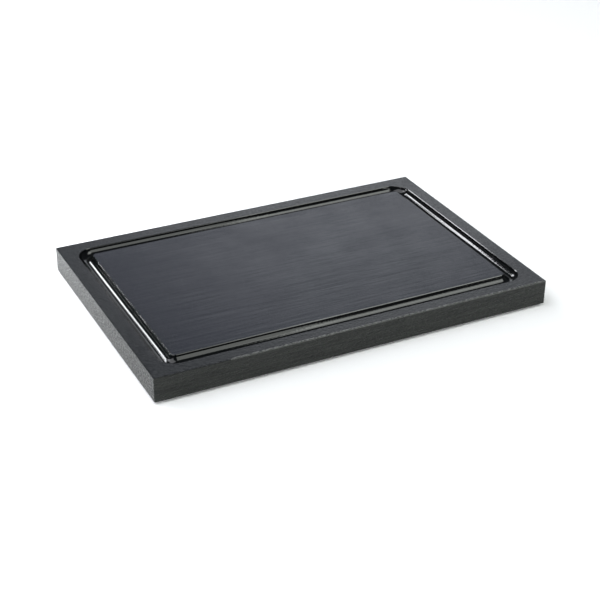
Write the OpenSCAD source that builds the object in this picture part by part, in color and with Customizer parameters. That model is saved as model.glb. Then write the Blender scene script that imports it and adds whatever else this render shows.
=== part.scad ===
// Bar board: a thick black plastic cutting board with a juice groove, on four screwed rubber feet.
// Length runs along X, the front is at -Y, and Z = 0 is the surface that the feet stand on.

/* [Board] */
// Length of the board, left to right
board_l = 300; // [240:5:400]
// Width of the board, front to back
board_w = 200; // [160:5:300]
// Thickness of the board, without its feet
board_t = 18; // [16:0.5:25]
// Radius that breaks the board's edges and corners
edge_r = 1; // [0.6:0.1:2]

/* [Juice groove] */
// Width of the round-nosed cut that makes the groove
groove_w = 10; // [8:0.5:12]
// Depth of the groove below the top face
groove_depth = 4.8; // [3:0.1:6]
// Flat rim between the board's side and the groove
rim_w = 11; // [8:0.5:20]
// Radius of the groove's centreline in its corners
groove_bend_r = 8; // [7:0.5:16]
// Size of the chamfer on the groove's two lips
lip_break = 0.4; // [0.2:0.1:0.8]

/* [Feet] */
// Diameter of a rubber foot
foot_d = 20; // [17:0.5:24]
// How much smaller the foot's radius is at its sole
foot_taper = 1; // [0.5:0.1:2]
// Height of a foot that stands out below the board
foot_proud = 2; // [1:0.1:3]
// How far a foot sinks into its pocket in the board
foot_sink = 4.5; // [3:0.1:6]
// Distance from the board's sides to a foot's centre
foot_inset = 30; // [24:1:50]
// Gap between a foot and the wall of its pocket
pocket_clearance = 0.2; // [0.1:0.05:0.4]
// Width of each of the two grip rings cut in the sole
grip_w = 0.7; // [0.4:0.1:0.9]
// Depth of a grip ring
grip_depth = 0.5; // [0.2:0.1:0.8]

/* [Washers] */
// Outer diameter of a washer
washer_d = 9; // [8:0.1:10]
// Thickness of a washer
washer_t = 0.8; // [0.5:0.1:1.2]
// Gap between a washer and the wall of the foot's recess
washer_clearance = 0.3; // [0.1:0.05:0.5]

/* [Screws] */
// Diameter of a screw's head
head_d = 7; // [6:0.1:7.6]
// Height of a screw's head
head_h = 2.4; // [2:0.1:2.8]
// How far a screw's head stays above the sole
head_gap = 0.8; // [0.5:0.1:1]
// Diameter over a screw's thread
thread_d = 3.9; // [3.5:0.1:4.2]
// Height of a thread above the screw's core
thread_h = 0.5; // [0.3:0.05:0.6]
// Distance from one thread to the next
thread_pitch = 1.5; // [1.2:0.1:1.8]
// Length of a screw below its head
screw_l = 12; // [10:0.5:13]
// Gap between a screw's thread and the hole that it forms in the board
thread_clearance = 0.05; // [0.02:0.01:0.08]
// Gap between a screw's thread and the holes of its washer and foot
hole_clearance = 0.2; // [0.1:0.05:0.3]
// Depth of the pilot hole beyond a screw's tip
tip_room = 0.8; // [0.5:0.1:1.2]
// Length of a slot of the cross in a head
cross_l = 3.8; // [3:0.1:4.4]
// Width of a slot of the cross
cross_w = 0.9; // [0.6:0.1:1.1]
// Depth of the cross
cross_depth = 1.3; // [1:0.1:1.6]

/* [Hidden] */
$fn = 64;

// How far a cut runs past the face that it opens
overrun = 1;

// Heights above the surface that the feet stand on
board_z = foot_proud;
top_z = board_z + board_t;
pocket_z = board_z + foot_sink;
washer_z = head_gap + head_h;
recess_z = washer_z + washer_t;
tip_z = washer_z + screw_l;
pilot_z = tip_z + tip_room;

// The groove's section and its rounded rectangle
groove_r = groove_w / 2;
groove_axis_z = top_z - groove_depth + groove_r;
bend_x = board_l / 2 - rim_w - groove_r - groove_bend_r;
bend_y = board_w / 2 - rim_w - groove_r - groove_bend_r;

// Places of the feet, as seen from above
foot_x = board_l / 2 - foot_inset;
foot_y = board_w / 2 - foot_inset;

// Radii in a foot, whose two grip rings split the sole into three bands of equal width
foot_r = foot_d / 2;
sole_r = foot_r - foot_taper;
recess_r = washer_d / 2 + washer_clearance;
hole_r = thread_d / 2 + hole_clearance;
sole_band = (sole_r - recess_r - 2 * grip_w) / 3;

// A screw's core, drafted point and threads
core_r = thread_d / 2 - thread_h;
point_h = core_r;
thread_rings = floor((screw_l - point_h) / thread_pitch);
thread_half_h_share = 0.22;
dome_share = 0.45;

// Half the groove's width at a given depth below the top face
function groove_half_w(below) =
    below >= groove_depth - groove_r
        ? sqrt(groove_r * groove_r - pow(groove_r - groove_depth + below, 2))
        : groove_r;

// An outline with round corners, centred, from two bars and four circles
module rounded_rect(l, w, r) {
    square([l - 2 * r, w], center = true);
    square([l, w - 2 * r], center = true);
    for (sx = [-1, 1], sy = [-1, 1])
        translate([sx * (l / 2 - r), sy * (w / 2 - r)])
            circle(r);
}

// The slab with all its edges rounded, where three rounded bars cross
module slab() {
    translate([0, 0, board_z + board_t / 2])
        intersection() {
            linear_extrude(board_t, center = true)
                rounded_rect(board_l, board_w, edge_r);
            rotate([90, 0, 0])
                linear_extrude(board_w, center = true)
                    rounded_rect(board_l, board_t, edge_r);
            rotate([90, 0, 90])
                linear_extrude(board_l, center = true)
                    rounded_rect(board_w, board_t, edge_r);
        }
}

// The groove's section: a round nose, upright walls if it is deeper than that, and two
// lips that are cut back at 45 degrees
module groove_section() {
    lip_half_w = groove_half_w(lip_break);
    translate([0, groove_axis_z])
        circle(groove_r);
    if (groove_depth > groove_r)
        translate([-groove_r, groove_axis_z])
            square([groove_w, groove_depth - groove_r]);
    polygon([
        [lip_break - lip_half_w, top_z - 2 * lip_break],
        [lip_half_w - lip_break, top_z - 2 * lip_break],
        [lip_half_w + lip_break, top_z],
        [lip_half_w + lip_break, top_z + overrun],
        [-lip_half_w - lip_break, top_z + overrun],
        [-lip_half_w - lip_break, top_z]
    ]);
}

// One straight run of the groove, centred, along X
module groove_run(run_l) {
    rotate([90, 0, 90])
        linear_extrude(run_l, center = true)
            groove_section();
}

// The quarter turn between two runs, from +X round to +Y
module groove_bend() {
    rotate_extrude(angle = 90)
        translate([groove_bend_r, 0])
            groove_section();
}

module groove() {
    for (side = [-1, 1]) {
        translate([0, side * (bend_y + groove_bend_r), 0])
            groove_run(2 * bend_x);
        translate([side * (bend_x + groove_bend_r), 0, 0])
            rotate([0, 0, 90])
                groove_run(2 * bend_y);
    }
    translate([bend_x, bend_y, 0])
        groove_bend();
    translate([-bend_x, bend_y, 0])
        rotate([0, 0, 90])
            groove_bend();
    translate([-bend_x, -bend_y, 0])
        rotate([0, 0, 180])
            groove_bend();
    translate([bend_x, -bend_y, 0])
        rotate([0, 0, 270])
            groove_bend();
}

// Pocket for a foot, with the pilot hole above it
module foot_pocket() {
    translate([0, 0, board_z - overrun])
        cylinder(h = foot_sink + overrun, r = foot_r + pocket_clearance);
    cylinder(h = pilot_z, r = thread_d / 2 + thread_clearance);
}

module board() {
    color([0.09, 0.095, 0.1])
        difference() {
            slab();
            groove();
            for (sx = [-1, 1], sy = [-1, 1])
                translate([sx * foot_x, sy * foot_y, 0])
                    foot_pocket();
        }
}

// A ring cut in a sole, from its inner radius outwards
module grip_ring(inner_r) {
    translate([inner_r, -overrun])
        square([grip_w, grip_depth + overrun]);
}

// Half section of a foot, turned about its axis
module foot_section() {
    difference() {
        polygon([
            [recess_r, 0],
            [sole_r, 0],
            [foot_r, board_z],
            [foot_r, pocket_z],
            [hole_r, pocket_z],
            [hole_r, recess_z],
            [recess_r, recess_z]
        ]);
        grip_ring(recess_r + sole_band);
        grip_ring(recess_r + 2 * sole_band + grip_w);
    }
}

module foot(sx, sy) {
    color([0.16, 0.16, 0.17])
        translate([sx * foot_x, sy * foot_y, 0])
            rotate_extrude()
                foot_section();
}

module washer(sx, sy) {
    color([0.72, 0.73, 0.74])
        translate([sx * foot_x, sy * foot_y, washer_z])
            difference() {
                cylinder(h = washer_t, d = washer_d);
                translate([0, 0, -overrun])
                    cylinder(h = washer_t + 2 * overrun, r = hole_r);
            }
}

// Half section of a screw below its head: ringed threads on a core, with a drafted point
module shank_section() {
    half_h = thread_pitch * thread_half_h_share;
    polygon(concat(
        [[0, 0], [core_r, 0]],
        [for (i = [0 : thread_rings - 1], step = [-1, 0, 1])
            [step == 0 ? thread_d / 2 : core_r, (i + 0.5) * thread_pitch + step * half_h]],
        [[core_r, screw_l - point_h], [0, screw_l]]
    ));
}

// A pan head, flat where it bears on the washer and domed towards the floor
module head() {
    dome_h = head_h * dome_share;
    dome_r = (pow(head_d / 2, 2) + pow(dome_h, 2)) / (2 * dome_h);
    difference() {
        intersection() {
            translate([0, 0, -head_h])
                cylinder(h = head_h, d = head_d);
            translate([0, 0, dome_r - head_h])
                sphere(dome_r);
        }
        for (turn = [0, 90])
            rotate([0, 0, turn])
                translate([-cross_l / 2, -cross_w / 2, -head_h - overrun])
                    cube([cross_l, cross_w, cross_depth + overrun]);
    }
}

module screw(sx, sy) {
    color([0.62, 0.63, 0.65])
        translate([sx * foot_x, sy * foot_y, washer_z]) {
            head();
            rotate_extrude()
                shank_section();
        }
}

board();
foot(-1, -1);  // foot_front_left
foot(1, -1);  // foot_front_right
foot(-1, 1);  // foot_back_left
foot(1, 1);  // foot_back_right
washer(-1, -1);  // washer_front_left
washer(1, -1);  // washer_front_right
washer(-1, 1);  // washer_back_left
washer(1, 1);  // washer_back_right
screw(-1, -1);  // screw_front_left
screw(1, -1);  // screw_front_right
screw(-1, 1);  // screw_back_left
screw(1, 1);  // screw_back_right
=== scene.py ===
import math

import bmesh
import bpy
from mathutils import Matrix, Quaternion, Vector, noise


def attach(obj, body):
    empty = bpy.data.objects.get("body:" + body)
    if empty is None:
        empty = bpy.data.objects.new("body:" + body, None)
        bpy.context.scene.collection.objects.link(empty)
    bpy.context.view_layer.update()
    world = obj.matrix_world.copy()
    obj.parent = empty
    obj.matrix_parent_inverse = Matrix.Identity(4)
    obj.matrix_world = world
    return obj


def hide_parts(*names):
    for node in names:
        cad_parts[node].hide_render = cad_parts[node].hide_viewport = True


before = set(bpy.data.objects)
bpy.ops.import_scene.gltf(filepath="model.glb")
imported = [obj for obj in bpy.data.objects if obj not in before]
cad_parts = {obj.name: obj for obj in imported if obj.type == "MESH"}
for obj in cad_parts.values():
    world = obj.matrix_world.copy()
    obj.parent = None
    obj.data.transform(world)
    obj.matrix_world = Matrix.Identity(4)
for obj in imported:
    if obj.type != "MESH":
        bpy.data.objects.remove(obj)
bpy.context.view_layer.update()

MM = 0.001

# Board, in millimetres, as in the part's source
BOARD_L = 300.0
BOARD_W = 200.0
UNDER_Z = 2.0
TOP_Z = 20.0
GROOVE_INSET = 16.0
GROOVE_R = 5.0
GROOVE_AXIS_Z = 20.2
LIP_BREAK = 0.4
BEND_CENTRE_INSET = 24.0
FOOT_X = 120.0
FOOT_Y = 70.0
POCKET_R = 10.2
POCKET_Z = 6.5
PILOT_R = 2.0
PILOT_Z = 16.0

# Finer shape of the board's sides and edges, which its solid doesn't have
CORNER_R = 0.8
CORNER_ROOM = 0.03
FLAT_INSET = 1.12
FLAT_CORNER_INSET = CORNER_R - 0.02
SIDE_HEIGHTS = (3.0, 6.0, 11.0, 16.0, 18.8)
LOW_EDGE_R = (0.20, 0.35)
LOW_EDGE_SEED = 3.1
TOP_EDGE_R = (0.25, 0.55)
TOP_EDGE_SEED = 11.7
POCKET_SOFT = 0.3
POCKET_MID = 0.09

# Wear along the edges: frequencies of two noises per millimetre, the radius's even share and its share of
# each noise, and how much of both ends of its range is lost away from the front
WEAR_SLOW = 0.035
WEAR_FAST = 0.21
WEAR_FAST_SHIFT = 7.3
WEAR_SHARES = (0.5, 0.55, 0.35)
WEAR_SHRINK_LOW = 0.45
WEAR_SHRINK_HIGH = 0.6

# The worn stretch of the front edge, from a ragged end near the left corner. Its lighter colour is partly
# wear and partly a painted highlight.
FRONT_NORMAL_Y = -0.7
WORN_AND_HIGHLIT_FROM_X = -92.0
WORN_AND_HIGHLIT_RAGGED = 30.0
WORN_AND_HIGHLIT_PLACE = (4.7, 1.9)

# Finer shape of the groove: its inner wall leaves the round nose and stands up, and its lips are soft
BED_TILT = 53.0
WALL_HALF_W = 4.93
WALL_FOOT_Z = 18.9
WALL_TOP_Z = 19.45
WALL_LEAN = 0.01
LIP_SOFT = 0.03
LIP_MARGIN = 0.04

# The outer lip: how far its lower corner lies below the groove's axis, and the insets of that corner, of its
# upper corner and of the rim's end
LIP_SINK = GROOVE_AXIS_Z - TOP_Z + LIP_BREAK
LIP_LOW = GROOVE_INSET - math.sqrt(GROOVE_R ** 2 - LIP_SINK ** 2)
LIP_TOP = LIP_LOW - LIP_BREAK
RIM_END = LIP_TOP - LIP_SOFT

# Places of the rim's rings between the edge and the groove; the scuffed strip, coloured lighter partly for
# wear and partly as a painted highlight, ends at the second
RIM_SHARES = (0.0, 0.09, 0.5, 0.98, 1.0)
SCUFF_AND_HIGHLIGHT_RINGS = 2

# Mesh steps
CORNER_STEPS = 14
LONG_STEPS = 96
SHORT_STEPS = 60
OUTER_STEPS = 24
WALL_STEPS = 8
BED_STEPS = 16
SOFT_STEPS = 3
EDGE_STEPS = 8
POCKET_STEPS = 64
LATHE_STEPS = 72

# Radius and height along a foot's pocket, from its mouth to the end of its pilot hole
POCKET_PROFILE = [
    (POCKET_R + POCKET_SOFT, UNDER_Z),
    (POCKET_R + POCKET_MID, UNDER_Z + POCKET_MID),
    (POCKET_R, UNDER_Z + POCKET_SOFT),
    (POCKET_R, POCKET_Z - POCKET_SOFT),
    (POCKET_R - POCKET_SOFT, POCKET_Z),
    (PILOT_R, POCKET_Z),
    (PILOT_R, PILOT_Z),
]

# Material zones of the board
ZONES = ["field", "rim", "scuff_and_highlight", "groove", "lip", "arris", "edge", "side", "under", "pocket"]
ZONE = {name: index for index, name in enumerate(ZONES)}


# Mesh helpers

def outline(half_x, half_y, corner_r):
    """Points of a rounded rectangle, anticlockwise from the lower end of the right side. Each comes with its
    outward normal and with whether it lies in a corner."""
    run_x = half_x - corner_r
    run_y = half_y - corner_r
    points = []
    corners = [
        (run_x, -run_y, -90, SHORT_STEPS),
        (run_x, run_y, 0, LONG_STEPS),
        (-run_x, run_y, 90, SHORT_STEPS),
        (-run_x, -run_y, 180, LONG_STEPS),
    ]
    for index, (centre_x, centre_y, start, steps) in enumerate(corners):
        for step in range(CORNER_STEPS + 1):
            angle = math.radians(start + 90 * step / CORNER_STEPS)
            normal = Vector((math.cos(angle), math.sin(angle)))
            points.append((Vector((centre_x, centre_y)) + normal * corner_r, normal, True))
        last, normal, _ = points[-1]
        goal = Vector(corners[(index + 1) % 4][:2]) + normal * corner_r
        for step in range(1, steps):
            points.append((last.lerp(goal, step / steps), normal, False))
    return points


def raised(places, z):
    """Flat places as a ring at one height."""
    return [Vector((p.x, p.y, z)) for p in places]


def ring_at(inset, z):
    """One ring of the top face or groove, whose corners turn about the groove's own centres."""
    base = outline(BOARD_L / 2 - inset, BOARD_W / 2 - inset, BEND_CENTRE_INSET - inset)
    return raised([p for p, _, _ in base], z)


def edge_ring(base, radii, inset_share, face_z, rise_share):
    """One ring of a rounded edge, from the shares of its radius by which it lies in from the side and off the
    face."""
    points = []
    for (p, n, _), r in zip(base, radii):
        inset = r * inset_share
        points.append(Vector((p.x - n.x * inset, p.y - n.y * inset, face_z + r * rise_share)))
    return points


def circle(centre_x, centre_y, radius, z, steps, way=1):
    """Points of a level circle, anticlockwise from above unless the way is -1."""
    points = []
    for step in range(steps):
        angle = way * 2 * math.pi * step / steps
        points.append(Vector((centre_x + radius * math.cos(angle), centre_y + radius * math.sin(angle), z)))
    return points


class Loft:
    """Closed rings joined by quads, each quad with its material zone."""

    def __init__(self):
        self.points = []
        self.faces = []
        self.zones = []

    def ring(self, points):
        start = len(self.points)
        self.points.extend(points)
        return list(range(start, len(self.points)))

    def face(self, corners, zone):
        self.faces.append(tuple(corners))
        self.zones.append(zone)

    def band(self, lower, upper, zones):
        for i, zone in enumerate(zones):
            j = (i + 1) % len(lower)
            self.face((lower[i], lower[j], upper[j], upper[i]), zone)

    def mesh(self, name):
        mesh = bpy.data.meshes.new(name)
        mesh.from_pydata([p * MM for p in self.points], [], self.faces)
        mesh.polygons.foreach_set("material_index", self.zones)
        mesh.polygons.foreach_set("use_smooth", [True] * len(self.faces))
        mesh.update()
        return mesh


def soften(before, corner, after, cut):
    """Points that round one corner of a section, which start and end at that distance from it."""
    here = Vector(corner)
    a = here + (Vector(before) - here).normalized() * cut
    b = here + (Vector(after) - here).normalized() * cut
    points = []
    for step in range(SOFT_STEPS + 1):
        t = step / SOFT_STEPS
        points.append(tuple(a * (1 - t) ** 2 + here * (2 * t * (1 - t)) + b * t ** 2))
    return points


def edge_radius(point, normal, in_corner, limits, seed):
    """Radius of a broken edge, which wear has made uneven along its length. The front edge is worn most."""
    low, high = limits
    least = max(abs(normal.x), normal.y)
    high = high - (high - low) * WEAR_SHRINK_HIGH * least
    low = low * (1.0 - WEAR_SHRINK_LOW * least)
    slow = noise.noise(Vector((point.x * WEAR_SLOW, point.y * WEAR_SLOW, seed)))
    fast = noise.noise(Vector((point.x * WEAR_FAST, point.y * WEAR_FAST, seed + WEAR_FAST_SHIFT)))
    share = WEAR_SHARES[0] + WEAR_SHARES[1] * slow + WEAR_SHARES[2] * fast
    radius = low + (high - low) * min(1.0, max(0.0, share))
    return min(radius, CORNER_R - CORNER_ROOM) if in_corner else radius


def is_worn_and_highlit(point, normal):
    """Whether a place on the outline is in the worn stretch of the front edge, which is coloured lighter:
    partly wear, partly a painted highlight.
    """
    ragged = noise.noise(Vector((point.x * WEAR_FAST, *WORN_AND_HIGHLIT_PLACE)))
    return normal.y < FRONT_NORMAL_Y and point.x + WORN_AND_HIGHLIT_RAGGED * ragged > WORN_AND_HIGHLIT_FROM_X


def groove_arc(lip_angle):
    """The groove's section between its lips, from just past the outer one: a round nose, whose inner wall is
    nearly upright near its top."""
    section = []
    for step in range(1, OUTER_STEPS):
        angle = lip_angle * (1 - step / OUTER_STEPS)
        height = GROOVE_AXIS_Z - GROOVE_R * math.cos(angle)
        section.append((GROOVE_INSET - GROOVE_R * math.sin(angle), height))
    tilt = math.radians(BED_TILT)
    for step in range(BED_STEPS):
        angle = tilt * step / BED_STEPS
        height = GROOVE_AXIS_Z - GROOVE_R * math.cos(angle)
        section.append((GROOVE_INSET + GROOVE_R * math.sin(angle), height))
    turn = Vector((GROOVE_R * math.sin(tilt), GROOVE_AXIS_Z - GROOVE_R * math.cos(tilt)))
    knee = Vector((WALL_HALF_W, turn.y + (WALL_HALF_W - turn.x) * math.tan(tilt)))
    foot = Vector((WALL_HALF_W, WALL_FOOT_Z))
    for step in range(WALL_STEPS + 1):
        s = step / WALL_STEPS
        point = turn * (1 - s) ** 2 + knee * (2 * s * (1 - s)) + foot * s ** 2
        section.append((GROOVE_INSET + point.x, point.y))
    section.append((GROOVE_INSET + WALL_HALF_W + WALL_LEAN, WALL_TOP_Z))
    return section


def side_rings(base, flat):
    """Rings from the flat underside round the bottom edge, up the side and round the top edge. Each of the
    board's rings comes with the zone of the band that leads up to it, and with that band's zone where the
    front edge is worn and carries a painted highlight."""
    low_r = [edge_radius(*place, LOW_EDGE_R, LOW_EDGE_SEED) for place in base]
    top_r = [edge_radius(*place, TOP_EDGE_R, TOP_EDGE_SEED) for place in base]
    sides = [p for p, _, _ in base]
    turns = [math.radians(90 * step / EDGE_STEPS) for step in range(EDGE_STEPS + 1)]
    rings = [(raised(flat, UNDER_Z), "under", "under")]
    for turn in turns:
        points = edge_ring(base, low_r, 1 - math.sin(turn), UNDER_Z, 1 - math.cos(turn))
        rings.append((points, "under", "under"))
    for z in SIDE_HEIGHTS:
        rings.append((raised(sides, z), "side", "side"))
    for index, turn in enumerate(turns):
        points = edge_ring(base, top_r, 1 - math.cos(turn), TOP_Z, math.sin(turn) - 1)
        # Along the worn stretch the top edge takes the lighter arris colour, partly wear and partly a painted
        # highlight
        zones = ("edge", "arris") if index > 0 else ("side", "side")
        rings.append((points, *zones))
    return rings


def rim_rings(flat):
    """Rings of the rim, from the top edge to just short of the groove's outer lip."""
    outer = raised(flat, TOP_Z)
    inner = ring_at(RIM_END - LIP_MARGIN, TOP_Z)
    rings = []
    # Along the worn stretch the first rings' bands are the scuffed strip, lighter partly for wear and partly
    # as a painted highlight
    for index, share in enumerate(RIM_SHARES):
        points = [a.lerp(b, share) for a, b in zip(outer, inner)]
        rings.append((points, "rim", "scuff_and_highlight" if index < SCUFF_AND_HIGHLIGHT_RINGS else "rim"))
    return rings


def groove_rings():
    """Rings of the outer lip, the groove, the inner lip and the border of the cutting field."""
    arc = groove_arc(math.acos(LIP_SINK / GROOVE_R))
    top = (LIP_TOP, TOP_Z)
    low = (LIP_LOW, TOP_Z - LIP_BREAK)
    lip = soften((RIM_END, TOP_Z), top, low, LIP_SOFT) + soften(top, low, arc[0], LIP_SOFT)
    inner_lip = [(2 * GROOVE_INSET - inset, z) for inset, z in reversed(lip)]
    border = (2 * GROOVE_INSET - RIM_END + LIP_MARGIN, TOP_Z)
    rings = []
    for section, zone in (
        (lip[:1], "rim"),
        (lip[1:], "lip"),
        (arc + inner_lip[:1], "groove"),
        (inner_lip[1:], "lip"),
        ([border], "field"),
    ):
        rings += [(ring_at(inset, z), zone, zone) for inset, z in section]
    return rings


def add_field(loft, border):
    """The cutting field: a grid between the corners' centres, strips along its sides and a fan at each
    corner."""
    half_x = BOARD_L / 2 - BEND_CENTRE_INSET
    half_y = BOARD_W / 2 - BEND_CENTRE_INSET
    grid = {}
    for i in range(LONG_STEPS + 1):
        for j in range(SHORT_STEPS + 1):
            x = -half_x + 2 * half_x * i / LONG_STEPS
            y = -half_y + 2 * half_y * j / SHORT_STEPS
            grid[i, j] = loft.ring([Vector((x, y, TOP_Z))])[0]
    for i in range(LONG_STEPS):
        for j in range(SHORT_STEPS):
            loft.face((grid[i, j], grid[i + 1, j], grid[i + 1, j + 1], grid[i, j + 1]), ZONE["field"])
    start = 0
    corners = [(LONG_STEPS, 0), (LONG_STEPS, SHORT_STEPS), (0, SHORT_STEPS), (0, 0)]
    for index, (i, j) in enumerate(corners):
        for step in range(CORNER_STEPS):
            loft.face((border[start + step], border[start + step + 1], grid[i, j]), ZONE["field"])
        start += CORNER_STEPS
        goal_i, goal_j = corners[(index + 1) % 4]
        steps = max(abs(goal_i - i), abs(goal_j - j))
        way_i, way_j = (goal_i - i) // steps, (goal_j - j) // steps
        for step in range(steps):
            here = grid[i + way_i * step, j + way_j * step]
            there = grid[i + way_i * (step + 1), j + way_j * (step + 1)]
            a = border[(start + step) % len(border)]
            b = border[(start + step + 1) % len(border)]
            loft.face((a, b, there, here), ZONE["field"])
        start += steps


def add_pockets(loft):
    """The pockets for the feet, each with its pilot hole. Gives the rings of their mouths."""
    mouths = []
    for sx in (-1, 1):
        for sy in (-1, 1):
            rings = []
            for r, z in POCKET_PROFILE:
                rings.append(loft.ring(circle(sx * FOOT_X, sy * FOOT_Y, r, z, POCKET_STEPS, -1)))
            for lower, upper in zip(rings, rings[1:]):
                loft.band(lower, upper, [ZONE["pocket"]] * POCKET_STEPS)
            loft.face(rings[-1], ZONE["pocket"])
            mouths.append(rings[0])
    return mouths


def close_underside(mesh, rings):
    """The underside as one flat face within the first ring, with the others left open."""
    bm = bmesh.new()
    bm.from_mesh(mesh)
    bm.verts.ensure_lookup_table()
    loops = []
    for ring in rings:
        for i, index in enumerate(ring):
            pair = (bm.verts[index], bm.verts[ring[(i + 1) % len(ring)]])
            loops.append(bm.edges.get(pair))
    down = Vector((0, 0, -1))
    filled = bmesh.ops.triangle_fill(bm, edges=loops, use_beauty=True, normal=down)
    for item in filled["geom"]:
        if isinstance(item, bmesh.types.BMFace):
            item.material_index = ZONE["under"]
            item.smooth = False
    bmesh.ops.recalc_face_normals(bm, faces=bm.faces)
    bm.to_mesh(mesh)
    bm.free()


def build_board():
    """The board's closed mesh."""
    loft = Loft()
    base = outline(BOARD_L / 2, BOARD_W / 2, CORNER_R)
    flat = [p - n * (FLAT_CORNER_INSET if turned else FLAT_INSET) for p, n, turned in base]
    worn_and_highlit = [is_worn_and_highlit(p, n) for p, n, _ in base]
    rings = []
    for points, zone, worn_and_highlit_zone in side_rings(base, flat) + rim_rings(flat) + groove_rings():
        rings.append((loft.ring(points), zone, worn_and_highlit_zone))
    for (lower, _, _), (upper, zone, worn_and_highlit_zone) in zip(rings, rings[1:]):
        loft.band(lower, upper, [ZONE[worn_and_highlit_zone if here else zone] for here in worn_and_highlit])
    add_field(loft, rings[-1][0])
    mouths = add_pockets(loft)
    mesh = loft.mesh("board_body")
    close_underside(mesh, [rings[0][0]] + mouths)
    return mesh


def lathe(name, profile, centre):
    """A closed solid turned about an upright axis, from a closed profile of (radius, height)."""
    loft = Loft()
    rings = [loft.ring(circle(*centre, r, z, LATHE_STEPS)) for r, z in profile]
    for lower, upper in zip(rings, rings[1:] + rings[:1]):
        loft.band(lower, upper, [0] * LATHE_STEPS)
    mesh = loft.mesh(name)
    bm = bmesh.new()
    bm.from_mesh(mesh)
    bmesh.ops.recalc_face_normals(bm, faces=bm.faces)
    bm.to_mesh(mesh)
    bm.free()
    return mesh


def rounded(corners):
    """A closed profile of (radius, height) from corners of (radius, height, rounding)."""
    places = [corner[:2] for corner in corners]
    profile = []
    for i, (place, corner) in enumerate(zip(places, corners)):
        profile += soften(places[i - 1], place, places[(i + 1) % len(places)], corner[2])
    return profile


# Node helpers

class Nodes:
    """Short calls for one material's node tree."""

    def __init__(self, name):
        self.material = bpy.data.materials.new(name)
        self.material.use_nodes = True
        self.tree = self.material.node_tree
        self.tree.nodes.clear()
        out = self.add("ShaderNodeOutputMaterial")
        self.shader = self.add("ShaderNodeBsdfPrincipled")
        self.link(self.shader.outputs["BSDF"], out.inputs["Surface"])
        self.place = self.add("ShaderNodeTexCoord").outputs["Object"]

    def add(self, kind, **values):
        node = self.tree.nodes.new(kind)
        for key, value in values.items():
            setattr(node, key, value)
        return node

    def link(self, source, target):
        self.tree.links.new(source, target)

    def mapped(self, turn=(0, 0, 0), scale=(1, 1, 1)):
        node = self.add("ShaderNodeMapping")
        node.inputs["Rotation"].default_value = [math.radians(a) for a in turn]
        node.inputs["Scale"].default_value = scale
        self.link(self.place, node.inputs["Vector"])
        return node.outputs["Vector"]

    def noise(self, vector, scale, detail, roughness):
        node = self.add("ShaderNodeTexNoise")
        node.inputs["Scale"].default_value = scale
        node.inputs["Detail"].default_value = detail
        node.inputs["Roughness"].default_value = roughness
        self.link(vector, node.inputs["Vector"])
        return node.outputs["Fac"]

    def mix(self, first, second, share):
        node = self.add("ShaderNodeMix", data_type="FLOAT")
        node.inputs[0].default_value = share
        self.link(first, node.inputs[2])
        self.link(second, node.inputs[3])
        return node.outputs[0]

    def remap(self, value, from_low, from_high, to_low, to_high):
        node = self.add("ShaderNodeMapRange")
        node.clamp = True
        for key, number in (
            ("From Min", from_low),
            ("From Max", from_high),
            ("To Min", to_low),
            ("To Max", to_high),
        ):
            node.inputs[key].default_value = number
        self.link(value, node.inputs["Value"])
        return node.outputs["Result"]

    def ramp(self, value, stops):
        node = self.add("ShaderNodeValToRGB")
        band = node.color_ramp
        while len(band.elements) < len(stops):
            band.elements.new(0.5)
        for element, (place, color) in zip(band.elements, stops):
            element.position = place
            element.color = (*color, 1.0)
        self.link(value, node.inputs["Fac"])
        return node.outputs["Color"]

    def bump(self, height, strength, distance, under=None):
        node = self.add("ShaderNodeBump")
        node.inputs["Strength"].default_value = strength
        node.inputs["Distance"].default_value = distance
        self.link(height, node.inputs["Height"])
        if under is not None:
            self.link(under, node.inputs["Normal"])
        return node.outputs["Normal"]


# A noise is its scale, detail and roughness. A bump is its strength and its depth in metres. A value whose
# name ends in ROUGH is the noise's range, and then the range of roughness that it is turned into.
GRAIN_ROUGHNESS = 0.5
BROAD_NOISE = (38.0, 3.0, 0.55)
BROAD_SHARE = 0.5
LINES_NOISE = (1.0, 4.0, 0.6)
LINES_Z = 60.0
HAIR_NOISE = (1.0, 2.0, 0.5)
HAIR_Z = 90.0
HAIR_FINER = (0.6, 3.1)
HAIR_STRENGTH = 0.6
HAIR_DEPTH = 0.4
STREAK_TURN = 38.0
SHADE_SPREAD = (0.35, 0.65)
SHEEN_SPREAD = (0.38, 0.62)
PLASTIC_IOR = 1.5


def plastic(name, dark, light, rough, speckle, planing, specular=0.5):
    """Black sheet plastic: colour and roughness vary with the grain, and bumps give grain and planing
    streaks."""
    n = Nodes(name)
    turn = (0, 0, STREAK_TURN)
    along, across = planing["along"], planing["across"]
    hair_scale = (along * HAIR_FINER[0], across * HAIR_FINER[1], HAIR_Z)
    fine = n.noise(n.mapped(), speckle["scale"], speckle["detail"], GRAIN_ROUGHNESS)
    broad = n.noise(n.mapped(), *BROAD_NOISE)
    lines = n.noise(n.mapped(turn, (along, across, LINES_Z)), *LINES_NOISE)
    hair = n.noise(n.mapped(turn, hair_scale), *HAIR_NOISE)
    shade = n.ramp(fine, list(zip(SHADE_SPREAD, (dark, light))))
    n.link(shade, n.shader.inputs["Base Color"])
    sheen = n.mix(n.mix(broad, lines, BROAD_SHARE), fine, speckle["sheen"])
    n.link(n.remap(sheen, *SHEEN_SPREAD, *rough), n.shader.inputs["Roughness"])
    normal = n.bump(fine, speckle["strength"], speckle["depth"])
    normal = n.bump(lines, planing["strength"], planing["depth"], normal)
    normal = n.bump(hair, planing["strength"] * HAIR_STRENGTH, planing["depth"] * HAIR_DEPTH, normal)
    n.link(normal, n.shader.inputs["Normal"])
    n.shader.inputs["Specular IOR Level"].default_value = specular
    n.shader.inputs["IOR"].default_value = PLASTIC_IOR
    return n.material


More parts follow.
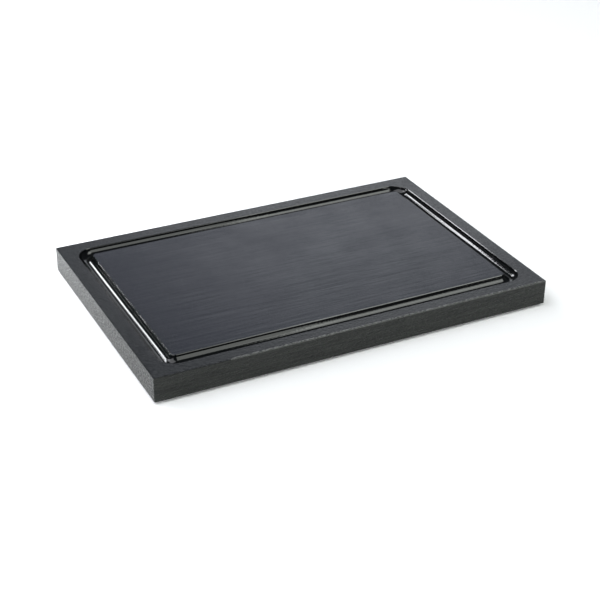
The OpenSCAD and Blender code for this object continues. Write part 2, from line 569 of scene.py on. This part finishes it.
SPECK_STRETCH = (0.5, 1.0, 1.55)
SPECK_NOISE = (560.0, 0.5, 0.5)
SPECK_ROUGH = (0.40, 0.60, 0.26, 0.57)
SPECK_BUMP = (1.0, 0.00045)
DUST_NOISE = (1500.0, 3.0, 0.6)
DUST_BUMP = (0.35, 0.00005)
DRAG_STRETCH = (45.0, 45.0, 900.0)
DRAG_NOISE = (1.0, 3.0, 0.55)
DRAG_BUMP = (0.12, 0.00006)
DRAG_SHARE = 0.75
SAWN_SHADES = [(0.40, (0.0036, 0.0046, 0.0034)), (0.60, (0.0168, 0.0190, 0.0158))]
SAWN_SPECULAR = 0.34


def sawn():
    """The sawn sides: matt, with a coarse speckle that catches light at a low angle, and faint level drag
    lines."""
    n = Nodes("side_plastic")
    speck = n.noise(n.mapped(scale=SPECK_STRETCH), *SPECK_NOISE)
    fine = n.noise(n.mapped(), *DUST_NOISE)
    drag = n.noise(n.mapped(scale=DRAG_STRETCH), *DRAG_NOISE)
    shade = n.ramp(n.mix(speck, drag, DRAG_SHARE), SAWN_SHADES)
    n.link(shade, n.shader.inputs["Base Color"])
    n.link(n.remap(speck, *SPECK_ROUGH), n.shader.inputs["Roughness"])
    normal = n.bump(fine, *DUST_BUMP)
    normal = n.bump(speck, *SPECK_BUMP, normal)
    normal = n.bump(drag, *DRAG_BUMP, normal)
    n.link(normal, n.shader.inputs["Normal"])
    n.shader.inputs["Specular IOR Level"].default_value = SAWN_SPECULAR
    return n.material


def streak(strength, along=34.0, across=620.0, depth=0.00004):
    """Planing streaks, by their frequency along and across them and by their bump."""
    return {"along": along, "across": across, "strength": strength, "depth": depth}


def grain(scale, strength, depth=0.00005, detail=3.0, sheen=0.0):
    """Fine grain, whose sheen is its share in the roughness."""
    return {"scale": scale, "strength": strength, "depth": depth, "detail": detail, "sheen": sheen}


board_materials = {
    "field": plastic(
        "field_plastic", (0.0084, 0.0100, 0.0158), (0.0114, 0.0134, 0.0202), (0.18, 0.235),
        grain(900, 0.10), streak(0.9, along=24.0, across=320.0, depth=0.00010),
    ),
    "rim": plastic(
        "rim_plastic", (0.0096, 0.0104, 0.0120), (0.0206, 0.0218, 0.0236), (0.14, 0.25),
        grain(680, 0.80, 0.00009, 1.0, 0.6), streak(0.20),
    ),
    # The groove and its lips are coloured much darker than the rest of the board's plastic: painted shade in
    # the recess
    "groove": plastic(
        "groove_plastic", (0.0026, 0.0030, 0.0032), (0.0044, 0.0048, 0.0050), (0.06, 0.10),
        grain(500, 0.5, 0.00005, 1.0), streak(0.04), 0.41,
    ),
    "lip": plastic(
        "lip_plastic", (0.0036, 0.0040, 0.0042), (0.0064, 0.0070, 0.0072), (0.08, 0.12),
        grain(600, 0.12), streak(0.05),
    ),
    # The scuffed strip along the front edge: its light colour is partly wear and partly a painted highlight
    "scuff_and_highlight": plastic(
        "scuff_and_highlight_plastic", (0.0420, 0.0435, 0.0420), (0.1040, 0.1062, 0.1010), (0.22, 0.32),
        grain(680, 0.80, 0.00009, 1.0, 0.6), streak(0.20),
    ),
    # The worn stretch of the front top edge: its light colour is partly wear and partly a painted highlight
    "arris": plastic(
        "arris_plastic", (0.0260, 0.0270, 0.0250), (0.0640, 0.0655, 0.0610), (0.32, 0.48),
        grain(700, 0.40), streak(0.05),
    ),
    "edge": plastic(
        "edge_plastic", (0.0150, 0.0156, 0.0152), (0.0300, 0.0308, 0.0300), (0.60, 0.75),
        grain(700, 0.40), streak(0.05), 0.08,
    ),
    "side": sawn(),
    "under": plastic(
        "under_plastic", (0.0150, 0.0158, 0.0162), (0.0230, 0.0238, 0.0242), (0.36, 0.46),
        grain(1000, 0.30), streak(0.25),
    ),
    "pocket": plastic(
        "pocket_plastic", (0.0150, 0.0158, 0.0162), (0.0260, 0.0265, 0.0270), (0.40, 0.52),
        grain(1300, 0.30), streak(0.05),
    ),
}

board = bpy.data.objects.new("board_body", build_board())
bpy.context.collection.objects.link(board)
for zone in ZONES:
    board.data.materials.append(board_materials[zone])
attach(board, "root")
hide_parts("board")


# Feet

RUBBER_GRAIN = (1500.0, 3.0, 0.6)
RUBBER_CLOUD = (160.0, 3.0, 0.6)
RUBBER_SHADES = [(0.3, (0.028, 0.028, 0.029)), (0.7, (0.052, 0.052, 0.053))]
RUBBER_ROUGH = (0.35, 0.65, 0.62, 0.80)
RUBBER_BUMP = (0.35, 0.00006)
RUBBER_CLOUD_BUMP = (0.2, 0.0001)
RUBBER_SPECULAR = 0.4
STEEL_BRUSH = (120.0, 3200.0, 500.0)
STEEL_NOISE = (1.0, 3.0, 0.6)
STEEL_SPOTS = (420.0, 3.0, 0.6)
STEEL_SPREAD = (0.3, 0.7)
STEEL_DARKER = 0.84
STEEL_LIGHTER = 1.08
STEEL_ROUGH = (0.3, 0.7, 0.24, 0.40)
STEEL_BUMP = (0.25, 0.00002)


def rubber():
    """Moulded rubber, matt, with a fine grain."""
    n = Nodes("foot_rubber_moulded")
    fine = n.noise(n.mapped(), *RUBBER_GRAIN)
    broad = n.noise(n.mapped(), *RUBBER_CLOUD)
    n.link(n.ramp(fine, RUBBER_SHADES), n.shader.inputs["Base Color"])
    n.link(n.remap(broad, *RUBBER_ROUGH), n.shader.inputs["Roughness"])
    normal = n.bump(fine, *RUBBER_BUMP, n.bump(broad, *RUBBER_CLOUD_BUMP))
    n.link(normal, n.shader.inputs["Normal"])
    n.shader.inputs["Specular IOR Level"].default_value = RUBBER_SPECULAR
    return n.material


def steel(name, base, turn):
    """Satin steel, brushed one way."""
    n = Nodes(name)
    brushed = n.noise(n.mapped((0, 0, turn), STEEL_BRUSH), *STEEL_NOISE)
    spots = n.noise(n.mapped(), *STEEL_SPOTS)
    shades = [tuple(c * share for c in base) for share in (STEEL_DARKER, STEEL_LIGHTER)]
    n.link(n.ramp(spots, list(zip(STEEL_SPREAD, shades))), n.shader.inputs["Base Color"])
    n.link(n.remap(brushed, *STEEL_ROUGH), n.shader.inputs["Roughness"])
    n.link(n.bump(brushed, *STEEL_BUMP), n.shader.inputs["Normal"])
    n.shader.inputs["Metallic"].default_value = 1.0
    return n.material


rubber_material = rubber()
washer_material = steel("washer_steel_satin", (0.60, 0.61, 0.62), 20.0)
screw_material = steel("screw_steel_satin", (0.56, 0.56, 0.57), 65.0)

# A foot, in millimetres: its side and sole with two ring grooves, its recess and hole for the screw, and its
# roundings
FOOT_R = 10.0
SOLE_R = 9.0
SOLE_RINGS = ((5.733, 6.433), (7.367, 8.067))
RING_Z = 0.5
RECESS_R = 4.8
RECESS_Z = 4.0
SCREW_HOLE_R = 2.15
OUTER_SOFT = 0.3
RECESS_SOFT = 0.15
RING_SOFT = 0.12
INNER_SOFT = 0.1


def foot_profile():
    """Radius and height round half of a foot's section, from the recess's mouth."""
    corners = [(RECESS_R, 0.0, RECESS_SOFT)]
    for start, end in SOLE_RINGS:
        corners += [
            (start, 0.0, RING_SOFT),
            (start, RING_Z, INNER_SOFT),
            (end, RING_Z, INNER_SOFT),
            (end, 0.0, RING_SOFT),
        ]
    corners += [
        (SOLE_R, 0.0, OUTER_SOFT),
        (FOOT_R, UNDER_Z, OUTER_SOFT),
        (FOOT_R, POCKET_Z, OUTER_SOFT),
        (SCREW_HOLE_R, POCKET_Z, INNER_SOFT),
        (SCREW_HOLE_R, RECESS_Z, INNER_SOFT),
        (RECESS_R, RECESS_Z, INNER_SOFT),
    ]
    return rounded(corners)


profile = foot_profile()
for label, sx, sy in (
    ("front_left", -1, -1), ("front_right", 1, -1), ("back_left", -1, 1), ("back_right", 1, 1),
):
    mesh = lathe("foot_rubber_" + label, profile, (sx * FOOT_X, sy * FOOT_Y))
    foot = bpy.data.objects.new("rubber_foot_" + label, mesh)
    bpy.context.collection.objects.link(foot)
    foot.data.materials.append(rubber_material)
    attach(foot, "root")
    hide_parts("foot_" + label)
    for kind, material in (("washer_", washer_material), ("screw_", screw_material)):
        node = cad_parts[kind + label]
        node.data.materials.clear()
        node.data.materials.append(material)


# Floor, light and camera

# In metres. The shine is the distance range from the board, and then its strength at both ends of the range.
FLOOR_HALF = 30.0
FLOOR_SPLITS = 8
FLOOR_Z = -0.0001
FLOOR_WHITE = (0.90, 0.90, 0.90, 1.0)
FLOOR_SHINE = (1.0, 1.0, 1.0, 1.0)
FLOOR_SHINE_REACH = (1.0, 4.0, 0.13, 0.85)
FLOOR_NOISE = (3.0, 2.0, 0.5)
FLOOR_ROUGH = (0.3, 0.7, 0.70, 0.80)


def floor():
    """A pale floor just under the soles, which shines faintly, and more so far from the board."""
    n = Nodes("floor_pale")
    n.shader.inputs["Base Color"].default_value = FLOOR_WHITE
    n.shader.inputs["Emission Color"].default_value = FLOOR_SHINE
    reach = n.add("ShaderNodeVectorMath", operation="LENGTH")
    n.link(n.place, reach.inputs[0])
    shine = n.remap(reach.outputs["Value"], *FLOOR_SHINE_REACH)
    n.link(shine, n.shader.inputs["Emission Strength"])
    soft = n.noise(n.mapped(), *FLOOR_NOISE)
    n.link(n.remap(soft, *FLOOR_ROUGH), n.shader.inputs["Roughness"])
    bm = bmesh.new()
    bmesh.ops.create_grid(bm, x_segments=FLOOR_SPLITS, y_segments=FLOOR_SPLITS, size=FLOOR_HALF)
    mesh = bpy.data.meshes.new("floor")
    bm.to_mesh(mesh)
    bm.free()
    obj = bpy.data.objects.new("floor", mesh)
    bpy.context.collection.objects.link(obj)
    obj.data.materials.append(n.material)
    obj.location.z = FLOOR_Z


floor()


def toward(azimuth, elevation):
    """The direction from the board to a place. Azimuth is from +Y towards +X."""
    a, e = math.radians(azimuth), math.radians(elevation)
    return Vector((math.sin(a) * math.cos(e), math.cos(a) * math.cos(e), math.sin(e)))


COOL = (0.975, 0.99, 1.025)
OLIVE = (0.975, 1.02, 0.970)

# Azimuth, elevation and distance of the plane that the lamps behind the board lie in, and its tilt. Angles
# are in degrees and lengths in metres, here and below.
BACK = (-21.0, 30.5, 1.45)
BACK_TILT = 40.5

# Name, place, width and height, radiance, tilt, shift to the right and up, and tint of each lamp
SOFTBOXES = [
    ("softbox_back_left", BACK, (0.31, 0.150), 14.0, BACK_TILT, (0.097, 0.010), COOL),
    ("softbox_back_strip", BACK, (0.59, 0.060), 14.4, BACK_TILT, (0.123, 0.171), COOL),
    ("softbox_back_strip_high", BACK, (0.62, 0.065), 14.4, BACK_TILT, (0.071, 0.209), COOL),
    ("softbox_back_tip", BACK, (0.16, 0.080), 14.4, BACK_TILT, (0.393, 0.309), COOL),
    ("softbox_back_halo", BACK, (0.70, 0.270), 0.95, BACK_TILT, (0.176, 0.025), COOL),
    ("softbox_front_right", (131.1, 48.9, 2.60), (1.87, 0.74), 3.5, -54.0, (0.0, 0.0), OLIVE),
    ("softbox_front", (157.9, 38.2, 2.60), (1.95, 0.54), 2.4, -73.9, (0.0, 0.0), OLIVE),
    ("softbox_front_strip", (137.3, 47.9, 2.60), (0.24, 0.87), 2.6, -47.1, (0.0, 0.0), OLIVE),
    ("softbox_left", (-58.7, 36.6, 0.671), (0.28, 0.28), 3.0, 0.0, (0.0, 0.0), COOL),
    ("softbox_left_low", (-49.0, 5.0, 0.48), (0.14, 0.06), 74.0, 0.0, (0.0, 0.0), COOL),
    ("softbox_right_low", (140.0, 5.0, 0.60), (0.14, 0.06), 7.0, 0.0, (0.0, 0.0), OLIVE),
    ("softbox_left_high", (-95.0, 58.0, 2.60), (2.60, 2.60), 2.1, 0.0, (0.0, 0.0), COOL),
]

# Watts for each square metre of lamp and each unit of its radiance
ENERGY_PER_RADIANCE = 4.0


def softbox(name, place, size, radiance, tilt, shift, tint):
    """A soft area light that faces the board. Seen from the board, the tilt lifts its right end, and the
    shift moves it right and up in its own plane."""
    azimuth, elevation, distance = place
    out = toward(azimuth, elevation)
    side = Vector((math.cos(math.radians(azimuth)), -math.sin(math.radians(azimuth)), 0.0))
    over = side.cross(out)
    data = bpy.data.lights.new(name, "AREA")
    data.shape = "RECTANGLE"
    data.size, data.size_y = size
    data.energy = radiance * size[0] * size[1] * ENERGY_PER_RADIANCE
    data.color = tint
    obj = bpy.data.objects.new(name, data)
    obj.location = out * distance + side * shift[0] + over * shift[1]
    turned = out.to_track_quat("Z", "Y") @ Quaternion((0.0, 0.0, 1.0), math.radians(-tilt))
    obj.rotation_euler = turned.to_euler()
    obj.visible_camera = False
    bpy.context.collection.objects.link(obj)


for lamp in SOFTBOXES:
    softbox(*lamp)


# The glow's centre and reach, and the elevations between which it fades in, all in degrees
GLOW_AZIMUTH = 29.0
GLOW_ELEVATION = 13.6
GLOW_REACH = 19.3
GLOW_FLOOR = (20.8, 25.9)
AIR_DIM = (0.065, 0.072, 0.082, 1.0)
AIR_GLOW = (2.99, 3.11, 3.28, 1.0)


def studio_air():
    """A dim even surround with one soft glow, low behind the board's right end."""
    world = bpy.data.worlds.new("studio_air")
    bpy.context.scene.world = world
    world.use_nodes = True
    tree = world.node_tree
    tree.nodes.clear()
    add, link = tree.nodes.new, tree.links.new
    out = add("ShaderNodeOutputWorld")
    background = add("ShaderNodeBackground")
    place = add("ShaderNodeTexCoord").outputs["Generated"]

    # How near a direction is to the glow's centre
    near = add("ShaderNodeVectorMath")
    near.operation = "DOT_PRODUCT"
    near.inputs[1].default_value = toward(GLOW_AZIMUTH, GLOW_ELEVATION)
    link(place, near.inputs[0])
    share = add("ShaderNodeMapRange")
    share.inputs["From Min"].default_value = math.cos(math.radians(GLOW_REACH))
    share.inputs["From Max"].default_value = 1.0
    link(near.outputs["Value"], share.inputs["Value"])

    # The glow fades out below a level
    split = add("ShaderNodeSeparateXYZ")
    link(place, split.inputs["Vector"])
    above = add("ShaderNodeMapRange")
    above.interpolation_type = "SMOOTHSTEP"
    for key, angle in zip(("From Min", "From Max"), GLOW_FLOOR):
        above.inputs[key].default_value = math.sin(math.radians(angle))
    link(split.outputs["Z"], above.inputs["Value"])
    both = add("ShaderNodeMath")
    both.operation = "MULTIPLY"
    link(share.outputs["Result"], both.inputs[0])
    link(above.outputs["Result"], both.inputs[1])
    mix = add("ShaderNodeMix")
    mix.data_type = "RGBA"
    mix.inputs[6].default_value = AIR_DIM
    mix.inputs[7].default_value = AIR_GLOW
    link(both.outputs["Value"], mix.inputs[0])
    link(mix.outputs[2], background.inputs["Color"])
    background.inputs["Strength"].default_value = 1.0
    link(background.outputs["Background"], out.inputs["Surface"])


studio_air()

scene = bpy.context.scene
scene.view_settings.view_transform = "Standard"
scene.view_settings.look = "None"
scene.view_settings.exposure = 0.0
scene.view_settings.gamma = 1.0

# Place and clip distances in metres, angles in degrees, and lens and sensor in millimetres
CAMERA_PLACE = (-0.40095, -0.80263, 0.49527)
CAMERA_HEADING = 26.7286
CAMERA_PITCH = 29.3821
CAMERA_ROLL = 0.5798
CAMERA_LENS = 83.5735
CAMERA_SENSOR = 36.0
CAMERA_CLIP = (0.05, 50.0)


def make_camera():
    """The photograph's viewpoint, from its heading, downward pitch and roll in degrees."""
    heading, pitch, roll = (math.radians(a) for a in (CAMERA_HEADING, CAMERA_PITCH, CAMERA_ROLL))
    ahead = Vector((
        math.sin(heading) * math.cos(pitch),
        math.cos(heading) * math.cos(pitch),
        -math.sin(pitch),
    ))
    level = Vector((math.cos(heading), -math.sin(heading), 0.0))
    upright = level.cross(ahead)
    right = level * math.cos(roll) + upright * math.sin(roll)
    up = upright * math.cos(roll) - level * math.sin(roll)
    data = bpy.data.cameras.new("camera")
    data.lens = CAMERA_LENS
    data.sensor_width = CAMERA_SENSOR
    data.sensor_fit = "HORIZONTAL"
    data.clip_start, data.clip_end = CAMERA_CLIP
    camera = bpy.data.objects.new("camera", data)
    camera.matrix_world = Matrix((
        (right.x, up.x, -ahead.x, CAMERA_PLACE[0]),
        (right.y, up.y, -ahead.y, CAMERA_PLACE[1]),
        (right.z, up.z, -ahead.z, CAMERA_PLACE[2]),
        (0.0, 0.0, 0.0, 1.0),
    ))
    bpy.context.collection.objects.link(camera)
    scene.camera = camera


make_camera()
